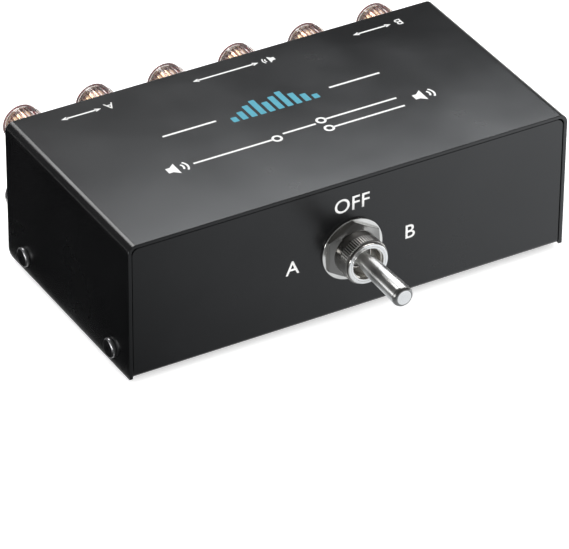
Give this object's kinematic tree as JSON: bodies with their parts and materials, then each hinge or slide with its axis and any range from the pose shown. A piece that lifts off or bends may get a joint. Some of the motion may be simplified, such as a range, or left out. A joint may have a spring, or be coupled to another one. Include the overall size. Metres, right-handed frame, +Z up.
{
  "type": "speaker selector switch",
  "caption": "Low steel box with a bat toggle on the front and two rows of red and black screw-cap banana posts on the rear, switching one pair of leads between two others.",
  "frame": {"origin": "bottom centre of the bounding box, on the underside of the feet", "axes": "+X to the right seen from the front, front panel faces -Y, +Z up"},
  "size_m": [0.1476, 0.1194, 0.047],
  "materials": {
    "black_powder": "fine-textured black powder coat on sheet steel",
    "black_zinc": "black zinc plated steel",
    "steel": "zinc plated steel",
    "rubber": "moulded black rubber",
    "nickel": "nickel plated brass",
    "chromed_lever": "polished chrome on brass",
    "phenolic": "moulded phenolic",
    "nylon": "natural nylon",
    "contact_silver": "silver plated copper alloy",
    "red_clear": "translucent red moulded plastic",
    "smoke_clear": "translucent smoke moulded plastic",
    "gold": "gold plated turned brass",
    "tinned_brass": "tin plated brass",
    "red_wire": "red PVC over stranded copper",
    "black_wire": "black PVC over stranded copper"
  },
  "bodies": {
    "enclosure": {"chassis": "black_powder", "cover": "black_powder", "cover_screws": "black_zinc", "clinch_nuts": "steel", "rubber_feet": "rubber", "plain_washer": "nickel", "hex_nut": "nickel", "dress_nut": "nickel", "tooth_washer": "steel", "inner_nut": "nickel", "toggle_bushing": "nickel", "pivot_pin": "steel", "switch_frame": "steel", "switch_base": "phenolic", "common_terminals": "contact_silver", "throw_terminals": "contact_silver", "contact_buttons": "contact_silver", "red_collars": "red_clear", "black_collars": "smoke_clear", "post_studs": "gold", "panel_insulators": "nylon", "solder_tags": "tinned_brass", "spring_washers": "steel", "post_nuts": "nickel", "red_wires": "red_wire", "black_wires": "black_wire"},
    "lever": {"toggle_lever": "chromed_lever", "lever_carriage": "nylon", "contact_plungers": "nylon", "plunger_springs": "steel"},
    "rockers": {"rocker_blades": "contact_silver"},
    "cap_1_core": {"cap_insert_1": "gold"},
    "cap_1": {"cap_grip_1": "red_clear"},
    "cap_2_core": {"cap_insert_2": "gold"},
    "cap_2": {"cap_grip_2": "red_clear"},
    "cap_3_core": {"cap_insert_3": "gold"},
    "cap_3": {"cap_grip_3": "red_clear"},
    "cap_4_core": {"cap_insert_4": "gold"},
    "cap_4": {"cap_grip_4": "red_clear"},
    "cap_5_core": {"cap_insert_5": "gold"},
    "cap_5": {"cap_grip_5": "red_clear"},
    "cap_6_core": {"cap_insert_6": "gold"},
    "cap_6": {"cap_grip_6": "red_clear"},
    "cap_7_core": {"cap_insert_7": "gold"},
    "cap_7": {"cap_grip_7": "smoke_clear"},
    "cap_8_core": {"cap_insert_8": "gold"},
    "cap_8": {"cap_grip_8": "smoke_clear"},
    "cap_9_core": {"cap_insert_9": "gold"},
    "cap_9": {"cap_grip_9": "smoke_clear"},
    "cap_10_core": {"cap_insert_10": "gold"},
    "cap_10": {"cap_grip_10": "smoke_clear"},
    "cap_11_core": {"cap_insert_11": "gold"},
    "cap_11": {"cap_grip_11": "smoke_clear"},
    "cap_12_core": {"cap_insert_12": "gold"},
    "cap_12": {"cap_grip_12": "smoke_clear"}
  },
  "joints": [
    {"name": "lever_swing", "type": "hinge", "parent": "enclosure", "child": "lever", "pos_m": [0, -0.03245, 0.0235], "axis": [0, 0, 1], "range_deg": [-12.5, 12.5]},
    {"name": "rocker_tilt", "type": "hinge", "parent": "enclosure", "child": "rockers", "pos_m": [0, -0.01315, 0.0235], "axis": [0, 0, 1], "range_deg": [-7, 7]},
    {"name": "cap_1_travel", "type": "slide", "parent": "enclosure", "child": "cap_1_core", "axis": [0, 1, 0], "range_m": [0, 0.005]},
    {"name": "cap_1_turn", "type": "hinge", "parent": "cap_1_core", "child": "cap_1", "pos_m": [0.06, 0.05435, 0.0355], "axis": [0, 1, 0], "range_deg": [0, 1800]},
    {"name": "cap_2_travel", "type": "slide", "parent": "enclosure", "child": "cap_2_core", "axis": [0, 1, 0], "range_m": [0, 0.005]},
    {"name": "cap_2_turn", "type": "hinge", "parent": "cap_2_core", "child": "cap_2", "pos_m": [0.036, 0.05435, 0.0355], "axis": [0, 1, 0], "range_deg": [0, 1800]},
    {"name": "cap_3_travel", "type": "slide", "parent": "enclosure", "child": "cap_3_core", "axis": [0, 1, 0], "range_m": [0, 0.005]},
    {"name": "cap_3_turn", "type": "hinge", "parent": "cap_3_core", "child": "cap_3", "pos_m": [0.012, 0.05435, 0.0355], "axis": [0, 1, 0], "range_deg": [0, 1800]},
    {"name": "cap_4_travel", "type": "slide", "parent": "enclosure", "child": "cap_4_core", "axis": [0, 1, 0], "range_m": [0, 0.005]},
    {"name": "cap_4_turn", "type": "hinge", "parent": "cap_4_core", "child": "cap_4", "pos_m": [-0.012, 0.05435, 0.0355], "axis": [0, 1, 0], "range_deg": [0, 1800]},
    {"name": "cap_5_travel", "type": "slide", "parent": "enclosure", "child": "cap_5_core", "axis": [0, 1, 0], "range_m": [0, 0.005]},
    {"name": "cap_5_turn", "type": "hinge", "parent": "cap_5_core", "child": "cap_5", "pos_m": [-0.036, 0.05435, 0.0355], "axis": [0, 1, 0], "range_deg": [0, 1800]},
    {"name": "cap_6_travel", "type": "slide", "parent": "enclosure", "child": "cap_6_core", "axis": [0, 1, 0], "range_m": [0, 0.005]},
    {"name": "cap_6_turn", "type": "hinge", "parent": "cap_6_core", "child": "cap_6", "pos_m": [-0.06, 0.05435, 0.0355], "axis": [0, 1, 0], "range_deg": [0, 1800]},
    {"name": "cap_7_travel", "type": "slide", "parent": "enclosure", "child": "cap_7_core", "axis": [0, 1, 0], "range_m": [0, 0.005]},
    {"name": "cap_7_turn", "type": "hinge", "parent": "cap_7_core", "child": "cap_7", "pos_m": [0.06, 0.05435, 0.0115], "axis": [0, 1, 0], "range_deg": [0, 1800]},
    {"name": "cap_8_travel", "type": "slide", "parent": "enclosure", "child": "cap_8_core", "axis": [0, 1, 0], "range_m": [0, 0.005]},
    {"name": "cap_8_turn", "type": "hinge", "parent": "cap_8_core", "child": "cap_8", "pos_m": [0.036, 0.05435, 0.0115], "axis": [0, 1, 0], "range_deg": [0, 1800]},
    {"name": "cap_9_travel", "type": "slide", "parent": "enclosure", "child": "cap_9_core", "axis": [0, 1, 0], "range_m": [0, 0.005]},
    {"name": "cap_9_turn", "type": "hinge", "parent": "cap_9_core", "child": "cap_9", "pos_m": [0.012, 0.05435, 0.0115], "axis": [0, 1, 0], "range_deg": [0, 1800]},
    {"name": "cap_10_travel", "type": "slide", "parent": "enclosure", "child": "cap_10_core", "axis": [0, 1, 0], "range_m": [0, 0.005]},
    {"name": "cap_10_turn", "type": "hinge", "parent": "cap_10_core", "child": "cap_10", "pos_m": [-0.012, 0.05435, 0.0115], "axis": [0, 1, 0], "range_deg": [0, 1800]},
    {"name": "cap_11_travel", "type": "slide", "parent": "enclosure", "child": "cap_11_core", "axis": [0, 1, 0], "range_m": [0, 0.005]},
    {"name": "cap_11_turn", "type": "hinge", "parent": "cap_11_core", "child": "cap_11", "pos_m": [-0.036, 0.05435, 0.0115], "axis": [0, 1, 0], "range_deg": [0, 1800]},
    {"name": "cap_12_travel", "type": "slide", "parent": "enclosure", "child": "cap_12_core", "axis": [0, 1, 0], "range_m": [0, 0.005]},
    {"name": "cap_12_turn", "type": "hinge", "parent": "cap_12_core", "child": "cap_12", "pos_m": [-0.06, 0.05435, 0.0115], "axis": [0, 1, 0], "range_deg": [0, 1800]}
  ],
  "couplings": [
    {"joint": "rocker_tilt", "follows": "lever_swing", "ratio": -0.56},
    {"joint": "cap_1_turn", "follows": "cap_1_travel", "rad_per_m": 6283.2},
    {"joint": "cap_2_turn", "follows": "cap_2_travel", "rad_per_m": 6283.2},
    {"joint": "cap_3_turn", "follows": "cap_3_travel", "rad_per_m": 6283.2},
    {"joint": "cap_4_turn", "follows": "cap_4_travel", "rad_per_m": 6283.2},
    {"joint": "cap_5_turn", "follows": "cap_5_travel", "rad_per_m": 6283.2},
    {"joint": "cap_6_turn", "follows": "cap_6_travel", "rad_per_m": 6283.2},
    {"joint": "cap_7_turn", "follows": "cap_7_travel", "rad_per_m": 6283.2},
    {"joint": "cap_8_turn", "follows": "cap_8_travel", "rad_per_m": 6283.2},
    {"joint": "cap_9_turn", "follows": "cap_9_travel", "rad_per_m": 6283.2},
    {"joint": "cap_10_turn", "follows": "cap_10_travel", "rad_per_m": 6283.2},
    {"joint": "cap_11_turn", "follows": "cap_11_travel", "rad_per_m": 6283.2},
    {"joint": "cap_12_turn", "follows": "cap_12_travel", "rad_per_m": 6283.2}
  ]
}
